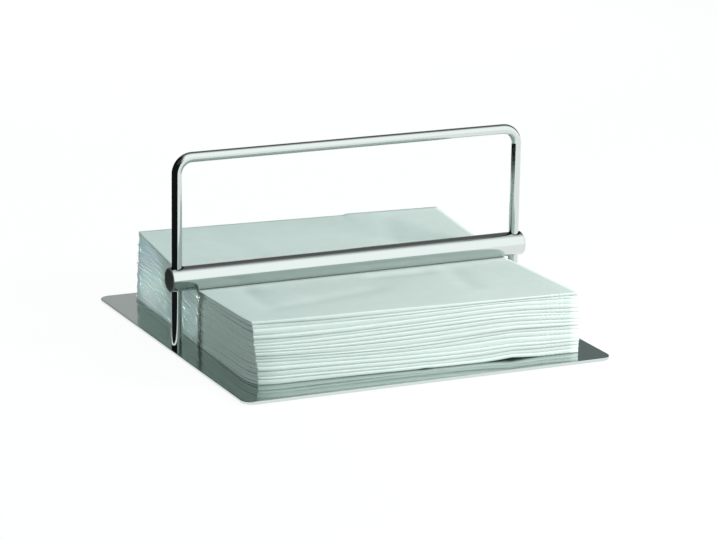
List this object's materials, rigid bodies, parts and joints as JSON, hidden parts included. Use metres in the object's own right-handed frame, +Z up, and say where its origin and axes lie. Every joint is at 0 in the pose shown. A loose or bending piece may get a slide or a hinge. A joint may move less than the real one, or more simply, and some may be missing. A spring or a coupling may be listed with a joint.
{
  "type": "napkin holder",
  "caption": "Flat table napkin holder: square steel plate with a bent-rod hoop and a loose heavy bar that slides on it and presses a stack of folded paper napkins.",
  "frame": {"origin": "middle of the base plate, on the surface that the pads stand on", "axes": "+Z up, +X along the bar and the hoop's top, -Y the front, from which the picture is taken a little to the left"},
  "size_m": [0.19, 0.19, 0.0967],
  "materials": {
    "plate_steel": "fine satin, near mirror",
    "rod_steel": "polished satin",
    "bar_steel": "fine turned satin",
    "screw_steel": "plain machined",
    "pad": "matte black",
    "napkin": "soft embossed tissue"
  },
  "bodies": {
    "holder": {"base_plate": "plate_steel", "hoop": "rod_steel", "hoop_screws": "screw_steel", "pad_front_left": "pad", "pad_front_right": "pad", "pad_back_left": "pad", "pad_back_right": "pad", "napkin_01": "napkin", "napkin_02": "napkin", "napkin_03": "napkin", "napkin_04": "napkin", "napkin_05": "napkin", "napkin_06": "napkin", "napkin_07": "napkin", "napkin_08": "napkin", "napkin_09": "napkin", "napkin_10": "napkin", "napkin_11": "napkin", "napkin_12": "napkin", "napkin_13": "napkin", "napkin_14": "napkin", "napkin_15": "napkin", "napkin_16": "napkin"},
    "bar": {"press_bar": "bar_steel"}
  },
  "joints": [
    {"name": "bar_slide", "type": "slide", "parent": "holder", "child": "bar", "axis": [0, 0, 1], "range_m": [0, 0.045]}
  ]
}
